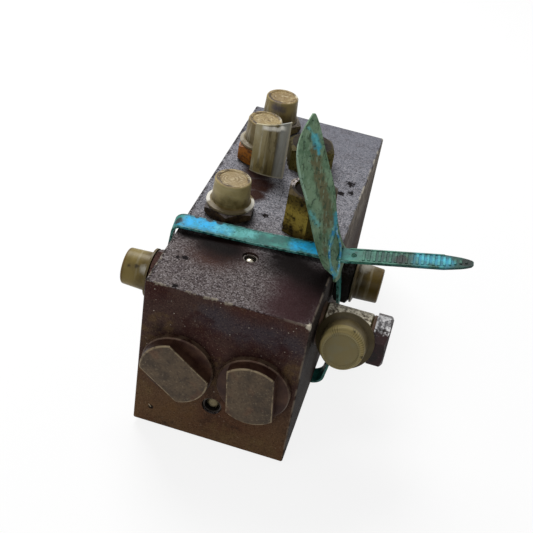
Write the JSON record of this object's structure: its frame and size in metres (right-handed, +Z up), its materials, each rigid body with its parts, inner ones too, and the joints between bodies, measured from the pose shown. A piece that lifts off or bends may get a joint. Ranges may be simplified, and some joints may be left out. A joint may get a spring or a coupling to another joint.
{
  "type": "hydraulic pedal valve",
  "caption": "Twin-spool hydraulic pedal valve block with screw plugs, capped hose adapters, a banjo outlet, a pressure switch and a leaf-flag marker tie.",
  "frame": {"origin": "centre of the steel block's underside, at the base mount", "axes": "+Z up; +Y along the spools from the front screw plugs to the pedal plungers at the rear; +X to the right, the banjo outlet's side"},
  "size_m": [0.1647, 0.2205, 0.1669],
  "materials": {
    "block_steel": "dark phosphated steel, oily and worn bright along its edges",
    "plug_steel": "dark turned steel with an oily brown film",
    "o_ring_rubber": "smooth black rubber",
    "ground_steel": "fine ground steel",
    "spring_steel": "oiled spring wire",
    "plunger_chrome": "polished hard chrome",
    "bush_steel": "zinc-plated turned steel, dulled",
    "rod_seal_polyurethane": "satin polyurethane",
    "wiper_rubber": "matte black rubber",
    "ball_plug_sleeve_steel": "turned steel",
    "ball_steel": "bright polished steel",
    "olive_zinc": "passivated zinc, greasy and stained",
    "amber_zinc": "yellow passivated zinc, amber where it is clean",
    "bonded_seal_steel": "dull zinc",
    "cap_plastic": "cloudy beige polyethylene, oily",
    "torn_plastic": "cloudy streaked polyethylene with a torn edge",
    "banjo_zinc": "passivated zinc, brown with grime",
    "bolt_zinc": "worn zinc, bright at the corners",
    "washer_copper": "dull copper",
    "switch_zinc": "passivated zinc, stained olive",
    "insulator_plastic": "dark moulded plastic",
    "terminal_brass": "tinned brass, dulled",
    "plug_zinc": "passivated zinc with a purple film on top",
    "tie_plastic": "teal polyethylene, scuffed and dusty, sky blue where it is clean"
  },
  "bodies": {
    "valve": {"valve_block": "block_steel", "front_plug_left": "plug_steel", "front_plug_right": "plug_steel", "front_plug_seal_left": "o_ring_rubber", "front_plug_seal_right": "o_ring_rubber", "return_spring_left": "spring_steel", "return_spring_right": "spring_steel", "guide_bush_left": "bush_steel", "guide_bush_right": "bush_steel", "rod_seal_left": "rod_seal_polyurethane", "rod_seal_right": "rod_seal_polyurethane", "wiper_left": "wiper_rubber", "wiper_right": "wiper_rubber", "plug_sleeve_front": "ball_plug_sleeve_steel", "plug_sleeve_top": "ball_plug_sleeve_steel", "plug_ball_front": "ball_steel", "plug_ball_top": "ball_steel", "adapter_top_front": "olive_zinc", "adapter_top_rear": "olive_zinc", "adapter_left_side": "olive_zinc", "adapter_right_side": "olive_zinc", "adapter_top_middle": "amber_zinc", "seal_top_front": "bonded_seal_steel", "seal_top_middle": "bonded_seal_steel", "seal_top_rear": "bonded_seal_steel", "seal_left_side": "bonded_seal_steel", "seal_right_side": "bonded_seal_steel", "seal_pressure_switch": "bonded_seal_steel", "seal_hex_plug": "bonded_seal_steel", "torn_sleeve": "torn_plastic", "banjo_body": "banjo_zinc", "banjo_bolt": "bolt_zinc", "banjo_washer_inner": "washer_copper", "banjo_washer_outer": "washer_copper", "pressure_switch_body": "switch_zinc", "switch_insulator": "insulator_plastic", "switch_terminal_left": "terminal_brass", "switch_terminal_right": "terminal_brass", "hex_plug": "plug_zinc", "tie_strap": "tie_plastic", "tie_flag": "tie_plastic"},
    "spool_left": {"spool_left": "ground_steel", "metering_spring_left": "spring_steel"},
    "plunger_left": {"plunger_left": "plunger_chrome"},
    "spool_right": {"spool_right": "ground_steel", "metering_spring_right": "spring_steel"},
    "plunger_right": {"plunger_right": "plunger_chrome"},
    "cap_top_front": {"cap_top_front": "cap_plastic"},
    "cap_top_middle": {"cap_top_middle": "cap_plastic"},
    "cap_top_rear": {"cap_top_rear": "cap_plastic"},
    "cap_left_side": {"cap_left_side": "cap_plastic"},
    "cap_right_side": {"cap_right_side": "cap_plastic"},
    "cap_banjo": {"cap_banjo": "cap_plastic"}
  },
  "joints": [
    {"name": "plunger_push_left", "type": "slide", "parent": "valve", "child": "plunger_left", "axis": [0, -1, 0], "range_m": [0, 0.012], "stiffness_N_per_m": 6000, "springref_m": -0.005, "deforming": ["metering_spring_left"]},
    {"name": "spool_shift_left", "type": "slide", "parent": "valve", "child": "spool_left", "axis": [0, -1, 0], "range_m": [0, 0.005], "deforming": ["return_spring_left"]},
    {"name": "plunger_push_right", "type": "slide", "parent": "valve", "child": "plunger_right", "axis": [0, -1, 0], "range_m": [0, 0.012], "stiffness_N_per_m": 6000, "springref_m": -0.005, "deforming": ["metering_spring_right"]},
    {"name": "spool_shift_right", "type": "slide", "parent": "valve", "child": "spool_right", "axis": [0, -1, 0], "range_m": [0, 0.005], "deforming": ["return_spring_right"]},
    {"name": "cap_pull_top_front", "type": "slide", "parent": "valve", "child": "cap_top_front", "axis": [0, 0, 1], "range_m": [0, 0.015]},
    {"name": "cap_pull_top_middle", "type": "slide", "parent": "valve", "child": "cap_top_middle", "axis": [0, 0, 1], "range_m": [0, 0.015]},
    {"name": "cap_pull_top_rear", "type": "slide", "parent": "valve", "child": "cap_top_rear", "axis": [0, 0, 1], "range_m": [0, 0.015]},
    {"name": "cap_pull_left_side", "type": "slide", "parent": "valve", "child": "cap_left_side", "axis": [-1, 0, 0], "range_m": [0, 0.015]},
    {"name": "cap_pull_right_side", "type": "slide", "parent": "valve", "child": "cap_right_side", "axis": [1, 0, 0], "range_m": [0, 0.015]},
    {"name": "cap_pull_banjo", "type": "slide", "parent": "valve", "child": "cap_banjo", "axis": [0, -0.9455, 0.3256], "range_m": [0, 0.015]}
  ],
  "couplings": [
    {"joint": "spool_shift_left", "follows": "plunger_push_left", "ratio": 0.4166},
    {"joint": "spool_shift_right", "follows": "plunger_push_right", "ratio": 0.4166}
  ]
}
